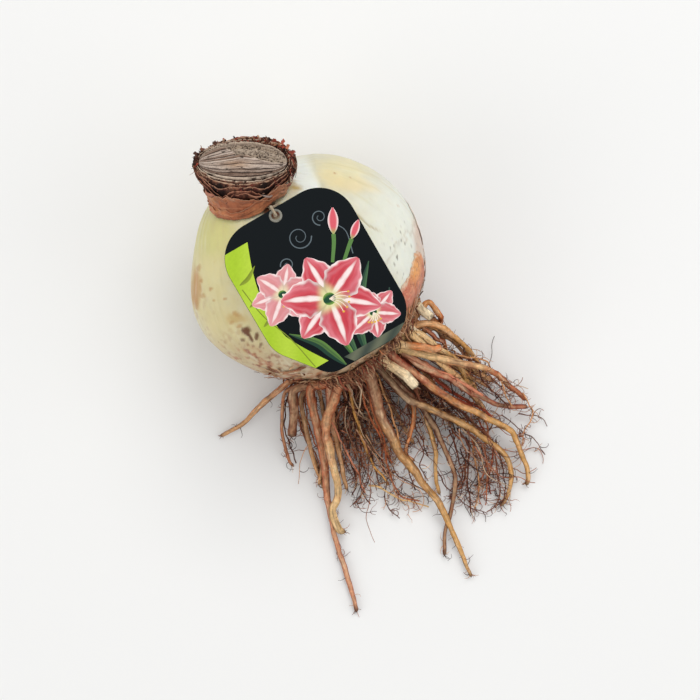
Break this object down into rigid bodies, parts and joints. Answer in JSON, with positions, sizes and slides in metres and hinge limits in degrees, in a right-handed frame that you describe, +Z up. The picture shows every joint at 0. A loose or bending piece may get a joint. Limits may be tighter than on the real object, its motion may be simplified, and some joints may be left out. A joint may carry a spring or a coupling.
{
  "type": "bare-root amaryllis bulb with hang label",
  "caption": "Large bare-root amaryllis bulb lying on its side, with a cut dry neck in a papery collar, spreading roots and a wordless picture label on a string.",
  "frame": {"origin": "middle of the small flat spot of the belly that the bulb lies on", "axes": "+X from the neck towards the roots, which is the longest way; +Y across the bulb; +Z up off the surface it lies on"},
  "size_m": [0.223, 0.1308, 0.1047],
  "materials": {
    "bulb_scale": "smooth waxy cream and yellow-green fleshy scale",
    "cut_leaf_bases": "dry grey-brown cut leaf tissue, finely ridged, matte",
    "dry_fibre": "dark brown torn fibre, matte",
    "dry_tunic": "terracotta papery skin, faintly lustrous",
    "base_skin": "brown flaky dry skin, matte",
    "tunic_skin": "orange-brown papery skin, torn edge",
    "root_skin": "tan to reddish-brown root bark, matte, wrinkled along its length",
    "label_card": "printed card with a gloss coat",
    "eyelet": "pale grey, satin",
    "string": "undyed twisted cotton"
  },
  "bodies": {
    "root": {"bulb": "bulb_scale", "neck_stump": "cut_leaf_bases", "neck_sleeve": "dry_fibre", "tunic_collar": "dry_tunic", "base_skin": "base_skin", "flank_skin": "tunic_skin", "roots": "root_skin", "label": "label_card", "label_eyelet": "eyelet", "label_string": "string"}
  },
  "joints": []
}
